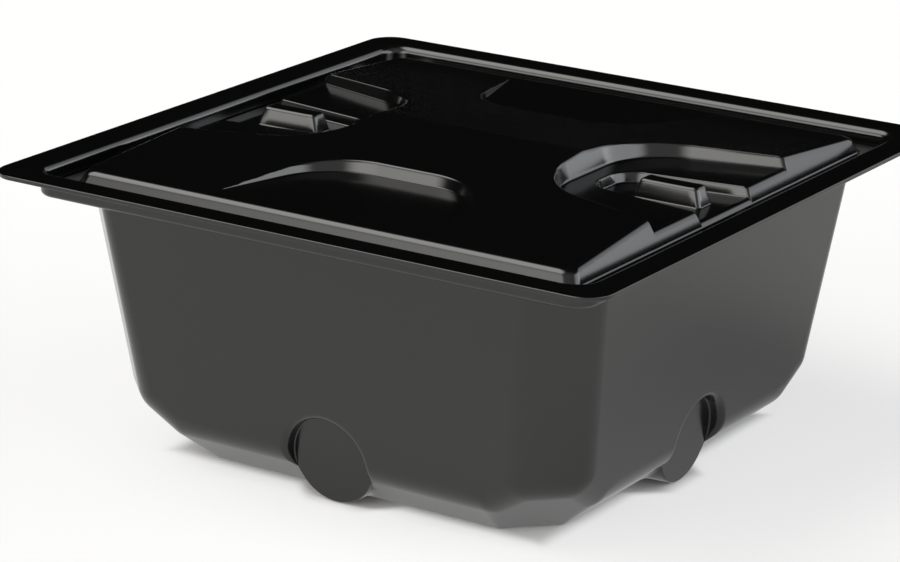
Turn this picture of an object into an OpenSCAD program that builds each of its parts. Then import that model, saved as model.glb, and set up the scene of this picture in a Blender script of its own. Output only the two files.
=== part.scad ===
// Square reservoir tub of thermoformed black sheet, with a drop-in lid.
// The origin is on the floor under the middle of the tub, Z points up, and
// the lid's ridge runs along X. All lengths are in millimetres.

/* [Overall] */
// Width of the square flange, edge to edge
tub_w = 800; // [740:10:900]
// Height of the flange's top face above the floor
tub_h = 346; // [310:2:400]
// Sheet thickness of the tub
tub_t = 5; // [4:0.5:6]
// Sheet thickness of the lid
lid_t = 4; // [3:0.5:4.5]

/* [Flange and gutter] */
// How far the flange reaches out past the gutter's outer wall
flange_reach = 35; // [30:1:42]
// Corner radius of the flange
flange_corner_r = 34; // [25:1:45]
// Depth of the gutter's floor below the flange's top face
gutter_depth = 24; // [22:1:28]
// Width of the step from the gutter's outer wall in to the tub's wall
step_w = 25; // [23:1:30]
// Corner radius of the gutter, on its inner face
gutter_corner_r = 24; // [20:1:34]
// Radius of the bend from the flange down into the gutter
rim_r = 10; // [8:1:12]
// Radius along the lower edge of the gutter's outer wall
skirt_edge_r = 5; // [3:1:7]

/* [Walls and base] */
// Slope of the four walls from upright, in degrees
wall_draft = 7.4; // [6:0.2:9]
// Leg of the flat cut down each upright corner
corner_cut = 56; // [44:1:70]
// How much shorter that leg is at the floor
cut_taper = 5; // [0:1:8]
// Height on the walls at which the bevel round the base starts
bevel_h = 50; // [42:1:56]
// Slope of that bevel from the floor, in degrees
bevel_angle = 38.7; // [35:0.1:44]
// Outer radius along the body's upright edges
edge_r = 26; // [18:1:32]
// Outer radius where the walls turn into the bevel
bevel_edge_r = 42; // [34:1:46]
// Outer radius along the edge of the floor
base_edge_r = 8; // [7:0.5:12]

/* [Pipe pads] */
// Diameter of the round pad at the foot of each wall
pad_d = 105; // [90:1:115]
// Depth of the pad's face behind the wall, which it is parallel to
pad_depth = 17; // [14:0.5:22]
// Gap between the pad's lowest point and the floor
pad_lift = 1.5; // [1:0.5:4]

/* [Lid] */
// Gap between the lid's rim and the gutter's outer wall
lid_gap = 2.5; // [1.5:0.5:4]
// Gap between the lid's raised field and the tub's inner wall
field_gap = 4; // [3:1:6]
// Height of the eaves above the rim
eave_h = 18; // [16:1:20]
// Rise of the ridge above the eaves
ridge_h = 26; // [22:1:30]
// Slope of the raised field's sides from upright, in degrees
field_draft = 24; // [18:1:28]
// Corner radius of the raised field
field_corner_r = 15; // [10:1:22]
// Radius along the raised field's top edges
field_edge_r = 5; // [5:0.5:7]
// Width of the chamfer at the foot of the raised field
field_chamfer = 2.5; // [1:0.5:3]

/* [Recesses] */
// Length of each recess, from the eaves to its closed end
recess_l = 174; // [160:1:182]
// Width of the recess at the eaves
recess_w = 302; // [284:2:316]
// Flare of a recess's sides, in degrees
recess_flare = 14.6; // [12:0.2:16]
// Corner radius at the closed end
recess_corner_r = 88; // [70:1:92]
// Slope of the recess walls from upright, in degrees
recess_draft = 18; // [12:1:22]

/* [Grip wells] */
// Depth of a grip well below its recess
well_depth = 12; // [10:1:13]
// Length of the well, from the eaves to its closed end
well_l = 147; // [140:1:152]
// Width of the well at the eaves
well_w = 112; // [104:2:120]
// Flare of the well's sides, in degrees
well_flare = 8.5; // [7:0.5:10]
// Corner radius at the closed end of the well
well_corner_r = 28; // [22:1:30]

/* [Grip bars] */
// Length of the bar at its foot
bar_l = 87; // [76:1:92]
// Width of the bar at its foot
bar_w = 31; // [28:1:34]
// Height of the bar above the floor of the well
bar_h = 22; // [18:1:24]
// Slope of the bar's ends from upright, in degrees
bar_end_draft = 18; // [12:1:20]
// Slope of the bar's sides from upright, in degrees
bar_side_draft = 12; // [8:1:13]
// Distance from the eaves in to the middle of the bar
bar_set_in = 63.5; // [60:0.5:68]

/* [Hidden] */

// A small overlap that keeps joined and cut faces from lying on each other
eps = 0.5;
// A length that reaches past the whole tub
far = tub_w;
// Number of sides of large, medium and small rounds, and of the lid's edge balls
fine = 96;
medium = 48;
small = 24;
ball = 20;
black = [0.11, 0.11, 0.115];

// Half widths of the flange, of the gutter's outer wall and of its step
flange_half = tub_w / 2;
skirt_half = flange_half - flange_reach;
gutter_half = skirt_half - tub_t;
wall_half = skirt_half - step_w;
// Heights of the step's two faces
step_top = tub_h - gutter_depth;
step_under = step_top - tub_t;

// The body is bounded by planes, each one as "distance out at the floor
// plus slope times height": the wall, the corner cut, the bevel and the
// bevel under the corner cut.
wall_m = tan(wall_draft);
bevel_m = 1 / tan(bevel_angle);
wall_0 = wall_half - wall_m * step_under;
cut_0 = 2 * wall_0 - corner_cut;
bevel_0 = wall_0 - (bevel_m - wall_m) * bevel_h;
base_cut_0 = 2 * bevel_0 - (corner_cut - cut_taper);
cut_m = 2 * wall_m;
base_cut_m = sqrt(2) * bevel_m;

// Corner points of one eighth of the body, with each plane moved in by d
function wall_in(d) = wall_0 - d * sqrt(1 + wall_m * wall_m);
function bevel_in(d) = bevel_0 - d * sqrt(1 + bevel_m * bevel_m);
function cut_in(d) = cut_0 - d * sqrt(2 + cut_m * cut_m);
function base_cut_in(d) = base_cut_0 - d * sqrt(2 + base_cut_m * base_cut_m);
function at_wall(d, z, sum) = [sum - (wall_in(d) + wall_m * z), wall_in(d) + wall_m * z, z];
function top_point(d, z) = at_wall(d, z, cut_in(d) + cut_m * z);
function cut_point(d) = let (z = (cut_in(d) - base_cut_in(d)) / (base_cut_m - cut_m))
    at_wall(d, z, cut_in(d) + cut_m * z);
function bevel_point(d) = let (z = (wall_in(d) - bevel_in(d)) / (bevel_m - wall_m))
    at_wall(d, z, base_cut_in(d) + base_cut_m * z);
function base_point(d) = let (out = bevel_in(d) + bevel_m * d)
    [base_cut_in(d) + base_cut_m * d - out, out, d];
// Centre and radius of each of the body's balls
body_balls = [
    [top_point(edge_r, tub_h + edge_r), edge_r],
    [cut_point(bevel_edge_r), bevel_edge_r],
    [bevel_point(bevel_edge_r), bevel_edge_r],
    [base_point(base_edge_r), base_edge_r],
];

// Pads
pad_r = pad_d / 2;
pad_z = pad_r * cos(wall_draft) + pad_lift;
pad_face = wall_0 + wall_m * pad_z - pad_depth / cos(wall_draft);

// Lid heights and half widths, at the sharp edges
rim_top = step_top + lid_t;
eave_z = rim_top + eave_h;
ridge_z = eave_z + ridge_h;
lid_half = gutter_half - lid_gap;
lid_corner_r = gutter_corner_r - lid_gap;
foot_half = wall_half - tub_t - field_gap;
field_m = tan(field_draft);
eave_half = foot_half - eave_h * field_m;
roof_m = ridge_h / eave_half;
recess_z = eave_z + eps;
well_z = recess_z - well_depth;

// Half width of a square whose corner balls lie inside the field's sides, at height z
function ball_half(z) = foot_half - (z - rim_top) * field_m - field_edge_r / cos(field_draft);
// Centre of the corner ball at angle a round a plan radius c, under a roof of slope m
// whose ball centres lie at height z along the ridge
function ball_point(a, c, m, z) = let (y = (ball_half(z) + c * (sin(a) - 1)) / (1 - field_m * m))
    [ball_half(z - m * y) + c * (cos(a) - 1), y, z - m * y];

// Copies the children to the eight like corners of a square
module eight_corners() {
    for (turn = [0:3], flip = [0:1])
        rotate(90 * turn)
            mirror([flip, -flip, 0])
                children();
}

// A square with round corners, from its half width
module round_square(half, r) {
    square([2 * half, 2 * (half - r)], center = true);
    square([2 * (half - r), 2 * half], center = true);
    for (x = [-1, 1], y = [-1, 1])
        translate([x * (half - r), y * (half - r)])
            circle(r, $fn = fine);
}

module slab(half, r, bottom, top) {
    translate([0, 0, bottom])
        linear_extrude(top - bottom)
            round_square(half, r);
}

// A round bar bent to a square with round corners, at height z
module square_ring(half, corner_r, z, r) {
    for (turn = [0:3])
        rotate(90 * turn)
            translate([half - corner_r, half - corner_r, z])
                rotate_extrude(angle = 90, $fn = fine)
                    translate([corner_r, 0])
                        circle(r, $fn = medium);
    for (turn = [0:3])
        rotate(90 * turn)
            translate([half, 0, z])
                rotate([90, 0, 0])
                    cylinder(h = 2 * (half - corner_r), r = r, center = true, $fn = medium);
}

// A slab whose lower edge is rounded
module soft_slab(half, corner_r, bottom, top, r) {
    slab(half, corner_r, bottom + r, top);
    slab(half - r, corner_r - r, bottom, bottom + r + eps);
    square_ring(half - r, corner_r - r, bottom + r, r);
}

// The body as a solid: the outside at inset 0, the inside at inset tub_t
module body_form(inset) {
    hull() {
        eight_corners()
            for (b = body_balls)
                translate(b[0])
                    sphere(b[1] - inset, $fn = small);
        translate([0, 0, inset])
            linear_extrude(eps)
                body_floor(base_point(base_edge_r));
    }
}

// The flat of the floor, inside the rounded edges
module body_floor(p) {
    polygon([[p[0], p[1]], [p[1], p[0]], [p[1], -p[0]], [p[0], -p[1]],
        [-p[0], -p[1]], [-p[1], -p[0]], [-p[1], p[0]], [-p[0], p[1]]]);
}

// A round bar square to each wall, through the middle of its pad, between two
// distances out from the pad's face
module pad_bars(r, from, to) {
    for (turn = [0:3])
        rotate(90 * turn)
            translate([pad_face, 0, pad_z])
                rotate([0, 90 + wall_draft, 0])
                    translate([0, 0, from])
                        cylinder(h = to - from, r = r, $fn = fine);
}

module tub_outside() {
    slab(flange_half, flange_corner_r, tub_h - tub_t, tub_h);
    soft_slab(skirt_half, gutter_corner_r + tub_t, step_under, tub_h - tub_t + eps, skirt_edge_r);
    difference() {
        slab(gutter_half + rim_r, gutter_corner_r + rim_r, tub_h - rim_r, tub_h - eps);
        square_ring(gutter_half + rim_r, gutter_corner_r + rim_r, tub_h - rim_r, rim_r - tub_t);
    }
    difference() {
        body_form(0);
        translate([-far, -far, step_under + tub_t / 2])
            cube([2 * far, 2 * far, far]);
        pad_bars(pad_r, 0, far);
    }
    pad_bars(pad_r, -pad_r, 0);
}

module tub_inside() {
    slab(gutter_half, gutter_corner_r, step_top, tub_h + eps);
    difference() {
        slab(gutter_half + rim_r, gutter_corner_r + rim_r, tub_h - rim_r, tub_h + eps);
        square_ring(gutter_half + rim_r, gutter_corner_r + rim_r, tub_h - rim_r, rim_r);
    }
    difference() {
        body_form(tub_t);
        pad_bars(pad_r + tub_t, -tub_t, far);
        translate([-far, -far, step_top + eps])
            cube([2 * far, 2 * far, far]);
    }
    pad_bars(pad_r - tub_t, -pad_r, -tub_t);
}

module tub() {
    color(black)
        difference() {
            tub_outside();
            tub_inside();
        }
}

// The raised field with its sloping sides, rounded edges and low gable, and with
// every face moved in by inset
module block(inset) {
    ball_z = ridge_z - field_edge_r * sqrt(1 + roof_m * roof_m);
    foot_z = step_top - 2 * field_edge_r;
    corner = field_corner_r - field_edge_r;
    hull()
        for (side = [0, 1]) {
            for (end = [0, 1], a = [0:360 / ball:90], p = [ball_point(a, corner, roof_m, ball_z),
                    ball_point(a, corner, 0, foot_z)])
                mirror([end, 0, 0])
                    mirror([0, side, 0])
                        translate(p)
                            sphere(field_edge_r - inset, $fn = ball);
            mirror([side, 0, 0])
                translate([ball_half(ball_z), 0, ball_z])
                    sphere(field_edge_r - inset, $fn = ball);
        }
}

// Outline of a recess that opens along +X, with its walls moved out by grow
module arch(w, l, flare, r, grow) {
    start = eave_half - l + r;
    centre_y = w / 2 - (l - r) * tan(flare) - r / cos(flare);
    mouth_y = w / 2 + (flange_half - eave_half) * tan(flare) + grow / cos(flare);
    hull() {
        for (side = [-1, 1])
            translate([start, side * centre_y])
                circle(r + grow, $fn = medium);
        translate([flange_half, -mouth_y])
            square([eps, 2 * mouth_y]);
    }
}

// The space of a recess with sloping walls, whose outline at height z is the arch's.
// With an inset, its floor lies that much lower and its walls that much further out.
module arch_space(z, w, l, flare, r, inset) {
    hull()
        for (level = [z - inset, ridge_z + 2 * eps])
            translate([0, 0, level])
                linear_extrude(eps)
                    arch(w, l, flare, r, inset + (level - z) * tan(recess_draft));
}

// The raised field with a recess in from each side and a well in two of them
module recessed_field(inset) {
    difference() {
        block(inset);
        for (turn = [0:3])
            rotate(90 * turn)
                arch_space(recess_z, recess_w, recess_l, recess_flare, recess_corner_r, inset);
        for (turn = [0, 2])
            rotate(90 * turn)
                arch_space(well_z, well_w, well_l, well_flare, well_corner_r, inset);
    }
}

// A bar that stands in each well, drafted on all sides, with round edges
module grip_bars(inset) {
    r = field_edge_r;
    ball_z = bar_h - r;
    drop = ball_z + eps + 2 * inset;
    end_in = bar_h * tan(bar_end_draft) + r * tan(45 - bar_end_draft / 2);
    side_in = bar_h * tan(bar_side_draft) + r * tan(45 - bar_side_draft / 2);
    for (turn = [0, 2])
        rotate(90 * turn)
            translate([eave_half - bar_set_in, 0, well_z])
                hull()
                    for (x = [-1, 1], y = [-1, 1]) {
                        translate([x * (bar_l / 2 - end_in), y * (bar_w / 2 - side_in), ball_z])
                            sphere(r - inset, $fn = ball);
                        translate([x * (bar_l / 2 - end_in + drop * tan(bar_end_draft)),
                                y * (bar_w / 2 - side_in + drop * tan(bar_side_draft)), ball_z - drop])
                            cylinder(h = eps, r = r - inset, $fn = ball);
                    }
}

// The slope that eases the foot of the raised field into the rim
module foot_chamfer() {
    hull()
        for (rise = [-eps, 2 * field_chamfer])
            translate([0, 0, rim_top + rise])
                linear_extrude(eps)
                    round_square(foot_half + field_chamfer - rise, field_corner_r + field_chamfer - rise);
}

module lid() {
    color(black)
        difference() {
            union() {
                slab(lid_half, lid_corner_r, step_top, rim_top);
                foot_chamfer();
                recessed_field(0);
                grip_bars(0);
            }
            recessed_field(lid_t);
            grip_bars(lid_t);
            translate([-far, -far, step_top - far])
                cube([2 * far, 2 * far, far]);
        }
}

tub();
lid();
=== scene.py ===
"""Square reservoir tub of black thermoformed sheet, with its drop-in lid.

Both mouldings are made as sheets of even thickness: a top face and an under
face that follow the same form, joined round their edges. The forms are worked
out in millimetres and written to the meshes in metres.
"""

from __future__ import annotations

import itertools
import logging
import math
from dataclasses import dataclass, field
from enum import Enum
from typing import Callable, Sequence

import bpy
import numpy as np
from mathutils import Matrix, Vector, geometry


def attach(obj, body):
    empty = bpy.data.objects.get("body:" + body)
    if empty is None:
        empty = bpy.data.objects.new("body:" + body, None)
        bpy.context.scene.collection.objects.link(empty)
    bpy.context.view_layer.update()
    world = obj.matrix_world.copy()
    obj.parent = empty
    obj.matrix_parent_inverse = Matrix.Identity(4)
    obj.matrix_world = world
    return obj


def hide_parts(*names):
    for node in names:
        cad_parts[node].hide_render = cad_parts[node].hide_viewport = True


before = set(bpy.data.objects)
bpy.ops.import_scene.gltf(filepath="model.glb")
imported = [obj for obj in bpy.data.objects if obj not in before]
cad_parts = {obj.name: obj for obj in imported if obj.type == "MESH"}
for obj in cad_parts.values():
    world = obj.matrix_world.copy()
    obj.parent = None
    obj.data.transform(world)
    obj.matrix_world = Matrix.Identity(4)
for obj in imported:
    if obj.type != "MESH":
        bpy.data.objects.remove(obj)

log = logging.getLogger("reservoir_tub")

MM = 0.001
SHARP = 1e-3  # millimetres: the radius that stands for a sharp edge
CLOSE = 1e-6  # millimetres: a distance that counts as none
ROUNDING = 1e-9
SEARCH_ROUNDS = 40
Array = np.ndarray
Surface = Callable[[Array, Array], Array]
Rgb = tuple[float, float, float]
Fade = tuple[float, float, float, float]
Tree = bpy.types.NodeTree
Node = bpy.types.Node
Socket = bpy.types.NodeSocket


class Turn(Enum):
    """Which way a patch's triangles face once they are in space."""

    AS_BUILT = 1
    REVERSED = -1


# Numbers


def slope_of(draft: float) -> float:
    """Rise over run of a wall that leans the given number of degrees from upright."""
    return 1.0 / math.tan(math.radians(draft))


def convex(flat: Array, steep: Array, slope: Array | float, radius: Array | float) -> Array:
    """Takes the lower of a flat and a steep surface and rounds the edge between them.

    Args:
        flat: Height of the flat surface.
        steep: Height of the steep surface.
        slope: Rise over run of the steep surface.
        radius: Radius of the round edge.

    Returns:
        The height of the joined surface.
    """
    angle = np.arctan(slope)
    reach = radius * np.tan(angle / 2)
    over = (steep - flat) / slope
    inside = np.clip(reach - over, 0, reach * (1 + np.cos(angle)))
    arc = radius - np.sqrt(np.maximum(radius * radius - inside * inside, 0))
    return np.where(over <= -reach * np.cos(angle), steep, flat - arc)


def concave(flat: Array, steep: Array, slope: Array | float, radius: Array | float) -> Array:
    """Takes the higher of a flat and a steep surface and fills the corner between them.

    Args:
        flat: Height of the flat surface.
        steep: Height of the steep surface.
        slope: Rise over run of the steep surface.
        radius: Radius of the fillet.

    Returns:
        The height of the joined surface.
    """
    return -convex(-flat, -steep, slope, radius)


def normals_of(surface: Surface, u: Array, v: Array, step: float = 0.02) -> Array:
    """Unit normals of a height surface, on the side of growing height.

    Args:
        surface: Height as a function of two coordinates.
        u: First coordinate of the points.
        v: Second coordinate of the points.
        step: Half the distance over which the slope is taken.

    Returns:
        One normal a row, as (u, v, height).
    """
    du = (surface(u + step, v) - surface(u - step, v)) / (2 * step)
    dv = (surface(u, v + step) - surface(u, v - step)) / (2 * step)
    n = np.stack([-du, -dv, np.ones_like(du)], axis=1)
    return n / np.linalg.norm(n, axis=1, keepdims=True)


def in_loop(points: Array, loop: Array) -> Array:
    """Tells which points lie inside a closed loop.

    Args:
        points: Points to test, one a row.
        loop: Corners of the loop, in order; they are rounded as a net's points are.

    Returns:
        One truth value a point.
    """
    loop = np.float64(np.float32(loop))
    inside = np.zeros(len(points), bool)
    x, y = points[:, 0], points[:, 1]
    for (ax, ay), (bx, by) in zip(loop, np.roll(loop, -1, axis=0)):
        if ay == by:
            continue
        crosses = (ay > y) != (by > y)
        inside ^= crosses & (x < ax + (y - ay) * (bx - ax) / (by - ay))
    return inside


def add_object(name: str, data: bpy.types.Mesh | bpy.types.Camera) -> bpy.types.Object:
    """Makes an object and puts it in the scene.

    Args:
        name: The object's name.
        data: Its mesh or camera.

    Returns:
        The new object.
    """
    made = bpy.data.objects.new(name, data)
    bpy.context.scene.collection.objects.link(made)
    return made


# Plans


@dataclass
class Plan:
    """A flat net of lines that a height surface is laid over.

    Points that round to the same step of GRAIN millimetres are one point.
    """

    points: list[tuple[float, float]] = field(default_factory=list)
    edges: list[tuple[int, int]] = field(default_factory=list)
    places: dict[tuple[int, int], int] = field(default_factory=dict)

    GRAIN = 1e-4

    def point(self, u: float, v: float) -> int:
        """Adds a point, or finds the one that is already there.

        Args:
            u: First coordinate of the point.
            v: Second coordinate of the point.

        Returns:
            The point's number.
        """
        key = (round(u / self.GRAIN), round(v / self.GRAIN))
        if key not in self.places:
            self.places[key] = len(self.points)
            self.points.append((float(u), float(v)))
        return self.places[key]

    def line(self, run: Sequence[tuple[float, float]] | Array, closed: bool = False) -> None:
        """Adds a line through the given points.

        Args:
            run: The points, in order.
            closed: Whether the last point joins the first.
        """
        ids = [self.point(u, v) for u, v in run]
        pairs = list(zip(ids, ids[1:])) + ([(ids[-1], ids[0])] if closed else [])
        self.edges += [(a, b) for a, b in pairs if a != b]

    def level(self, start: float, end: float, v: float, part: float) -> None:
        """Adds a level line at v, with no piece longer than part."""
        self.line(densify(np.array([(start, v), (end, v)]), part))

    def triangles(self, keep: Callable[[Array], Array]) -> tuple[Array, Array]:
        """Fills the net with triangles.

        Args:
            keep: Tells which triangles stay, from their middles.

        Returns:
            The points, and three point numbers for each triangle.
        """
        places = [Vector(p) for p in self.points]
        out = geometry.delaunay_2d_cdt(places, self.edges, [], 0, CLOSE, False)
        points = np.array([tuple(p) for p in out[0]])
        faces = np.array([f for f in out[2] if len(f) == 3])
        a, b, c = (points[faces[:, i]] for i in range(3))
        (bu, bv), (cu, cv) = (b - a).T, (c - a).T
        area = bu * cv - bv * cu
        faces = np.where(area[:, None] < 0, faces[:, ::-1], faces)
        middle = (a + b + c) / 3
        used, kept = np.unique(faces[keep(middle) & (np.abs(area) > 0)], return_inverse=True)
        return points[used], kept.reshape(-1, 3)


@dataclass
class Sheet:
    """A mesh that is put together from patches, with a true normal at each corner.

    Points in one cell of CELL millimetres become one, and a point within NEAR of the
    next cell joins what that cell holds.
    """

    name: str
    points: list[tuple[float, float, float]] = field(default_factory=list)
    faces: list[tuple[int, ...]] = field(default_factory=list)
    normals: list[tuple[float, float, float]] = field(default_factory=list)
    places: dict[tuple[int, int, int], int] = field(default_factory=dict)

    CELL = 2e-3
    NEAR = 4e-4

    def patch(
        self, points: Array, normals: Array, faces: Array, turn: Turn = Turn.AS_BUILT
    ) -> None:
        """Adds a patch and joins it to what it meets.

        Args:
            points: Points in millimetres, one a row.
            normals: One normal a point.
            faces: Point numbers of each face, one a row.
            turn: Whether the faces and normals are turned over.
        """
        ids = []
        moved = (points + k * self.NEAR for k in (0, -1, 1))
        cells = (np.floor(m / self.CELL).astype(int).tolist() for m in moved)
        for p, cell, low, high in zip(points, *cells):
            near = itertools.product(*zip(low, high))
            key = next((k for k in near if k in self.places), tuple(cell))
            if key not in self.places:
                self.places[key] = len(self.points)
                self.points.append(tuple(p * MM))
            ids.append(self.places[key])
        normals = normals * turn.value
        for f in faces:
            run = [int(i) for i in (f if turn is Turn.AS_BUILT else f[::-1])]
            run = [i for k, i in enumerate(run) if ids[i] != ids[run[k - 1]]]
            if len(run) > 2 and len({ids[i] for i in run}) == len(run):
                self.faces.append(tuple(ids[i] for i in run))
                self.normals += [tuple(normals[i]) for i in run]

    def build(self, material: bpy.types.Material, slot: str, node: str) -> bpy.types.Object:
        """Makes the object and puts it in the frame in place of its node.

        Args:
            material: The finish.
            slot: The record's material slot; not used.
            node: The node that the object stands for.

        Returns:
            The new object.
        """
        mesh = bpy.data.meshes.new(self.name)
        mesh.from_pydata(self.points, [], self.faces)
        mesh.shade_smooth()
        mesh.normals_split_custom_set(self.normals)
        mesh.materials.append(material)
        piece = add_object(self.name, mesh)
        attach(piece, "root")
        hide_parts(node)
        uses: dict[tuple[int, int], int] = {}
        for f in self.faces:
            for a, b in zip(f, f[1:] + f[:1]):
                uses[min(a, b), max(a, b)] = uses.get((min(a, b), max(a, b)), 0) + 1
        open_edges = sum(1 for n in uses.values() if n != 2)
        log.info("%s: %d faces, %d open edges", self.name, len(self.faces), open_edges)
        return piece


@dataclass(frozen=True)
class Station:
    """One ring of a profile that runs round a square."""

    half: float
    z: float
    corner: float
    normal: tuple[float, float]


@dataclass
class SquareRun:
    """A profile swept round a square with round corners."""

    arc_steps: int = 24

    def ring(self, half: float, corner: float) -> Array:
        """Four arcs joined by straight sides.

        Args:
            half: Half the ring's width.
            corner: Radius of its corners.

        Returns:
            The ring's points, in order.
        """
        run = []
        for quarter in range(4):
            for i in range(self.arc_steps + 1):
                a = math.radians(90 * quarter + 90 * i / self.arc_steps)
                mid = math.radians(90 * quarter + 45)
                cx = math.copysign(half - corner, math.cos(mid))
                cy = math.copysign(half - corner, math.sin(mid))
                run.append((cx + corner * math.cos(a), cy + corner * math.sin(a)))
        return np.array(run)

    def sweep(self, sheet: Sheet, profile: Sequence[Station]) -> None:
        """Lays the profile's faces round the square.

        Args:
            sheet: The mesh that takes the faces.
            profile: Stations in order, with the surface's outside on the right of the way they run.
        """
        rings = [self.ring(s.half, s.corner) for s in profile]
        out = self.ring(1.0, 1.0)
        n = len(out)
        points = np.vstack([np.column_stack([r, np.full(n, s.z)]) for r, s in zip(rings, profile)])
        normals = np.vstack(
            [np.column_stack([out * s.normal[0], np.full(n, s.normal[1])]) for s in profile]
        )
        faces = [
            (j * n + i, j * n + (i + 1) % n, (j + 1) * n + (i + 1) % n, (j + 1) * n + i)
            for j in range(len(profile) - 1)
            for i in range(n)
        ]
        sheet.patch(points, normals, np.array(faces))


def bend(
    centre: tuple[float, float],
    radius: float,
    start: float,
    end: float,
    corner: float,
    steps: int,
    sign: int = 1,
) -> list[Station]:
    """Stations round a bend of a profile.

    Args:
        centre: Half width and height of the bend's middle.
        radius: Radius of the bend.
        start: First angle in degrees, 0 pointing outwards and 90 up.
        end: Last angle in degrees.
        corner: Corner radius of the ring that passes through the bend's middle.
        steps: Number of steps.
        sign: 1 where the sheet's face looks away from the middle, -1 towards it.

    Returns:
        The stations, in order.
    """
    found = []
    for i in range(steps + 1):
        a = math.radians(start + (end - start) * i / steps)
        c, s = math.cos(a), math.sin(a)
        half, z = centre[0] + radius * c, centre[1] + radius * s
        found.append(Station(half, z, corner + radius * c, (sign * c, sign * s)))
    return found


def fill_flat(sheet: Sheet, z: float, outer: Array, inner: Array | None, turn: Turn) -> None:
    """Fills the flat between two loops, or inside one.

    Args:
        sheet: The mesh that takes the faces.
        z: Height of the flat.
        outer: The outer loop.
        inner: The inner loop, or nothing where the flat has no hole.
        turn: AS_BUILT for a flat that looks up, REVERSED for one that looks down.
    """
    plan = Plan()
    plan.line(outer, closed=True)
    if inner is not None:
        plan.line(inner, closed=True)

    def keep(middle: Array) -> Array:
        """Keeps what is inside the outer loop and outside the inner one."""
        inside = in_loop(middle, outer)
        return inside & ~in_loop(middle, inner) if inner is not None else inside

    points, faces = plan.triangles(keep)
    normals = np.tile((0.0, 0.0, 1.0), (len(points), 1))
    sheet.patch(np.column_stack([points, np.full(len(points), z)]), normals, faces, turn)


# The lid


@dataclass
class Recess:
    """A recess or well that opens towards +X, with walls that lean outwards."""

    floor: float
    length: float
    mouth_half: float
    flare: float
    corner: float
    draft: float
    fillet: float
    edge: float

    LEAST_EDGE = 0.6
    ARC_STEPS = 8
    ARC_PART = 4

    def plan_distance(self, x: Array, y: Array, eave: float) -> Array:
        """Distance in plan outside the floor's outline.

        Args:
            x: Distance along the way that the recess opens.
            y: Distance across it.
            eave: Where the mouth is.

        Returns:
            The distance, below 0 inside the outline.
        """
        f = math.radians(self.flare)
        end = (eave - self.length) - x + self.corner
        side = (np.abs(y) - self.mouth_half + (eave - x) * math.tan(f)) * math.cos(f) + self.corner
        c = math.sin(f)
        both = (end > c * side) & (side > c * end)
        round_part = np.sqrt(np.maximum(end**2 + side**2 - 2 * c * end * side, 0) / (1 - c * c))
        return np.where(both, round_part, np.maximum(end, side)) - self.corner

    def cut(self, top: Array, x: Array, y: Array, eave: float, inset: float) -> Array:
        """Sinks the recess into a surface.

        Args:
            top: Height of the surface before the recess.
            x: Distance along the way that the recess opens.
            y: Distance across it.
            eave: Where the mouth is.
            inset: How far below the top face the surface lies.

        Returns:
            The height of the surface with the recess.
        """
        s = slope_of(self.draft)
        floor = self.floor - inset
        depth = np.clip(top - floor, 0, None)
        share = np.clip(depth / (3 * (self.fillet + self.edge)), 0, 1)
        wall = self.floor + s * self.plan_distance(x, y, eave) - inset * math.hypot(1, s)
        cut = concave(np.full_like(x, floor), wall, s, (self.fillet + inset) * share + SHARP)
        return convex(top, cut, s, max(self.edge - inset, self.LEAST_EDGE) * share + SHARP)

    def lines(
        self, eave: float, mouth: float, offsets: Sequence[float], step: float
    ) -> list[Array]:
        """Lines that run alongside the outline of the floor.

        Args:
            eave: Where the mouth's width is given.
            mouth: How far out the lines run.
            offsets: Distances outside the outline.
            step: Distance between points on the straight parts.

        Returns:
            The lines, each from one end of the mouth to the other.
        """
        f = math.radians(self.flare)
        cx = eave - self.length + self.corner
        cy = self.mouth_half - (self.length - self.corner) * math.tan(f) - self.corner / math.cos(f)
        runs = []
        for o in offsets:
            r = self.corner + o
            tangent = np.array([cx - r * math.sin(f), cy + r * math.cos(f)])
            count = max(2, round((mouth - tangent[0]) / step))
            along = np.linspace(mouth, tangent[0], count + 1)[:-1]
            side = np.column_stack([along, tangent[1] + (along - tangent[0]) * math.tan(f)])
            steps = max(self.ARC_STEPS, round(r / self.ARC_PART))
            angles = np.linspace(math.pi / 2 + f, math.pi, steps + 1)
            arc = np.column_stack([cx + r * np.cos(angles), cy + r * np.sin(angles)])
            end = np.linspace(cy, 0, max(2, round(cy / step)) + 1)[1:]
            half = np.vstack([side, arc, np.column_stack([np.full(len(end), cx - r), end])])
            runs.append(np.vstack([half, half[-2::-1] * (1, -1)]))
        return runs


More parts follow.
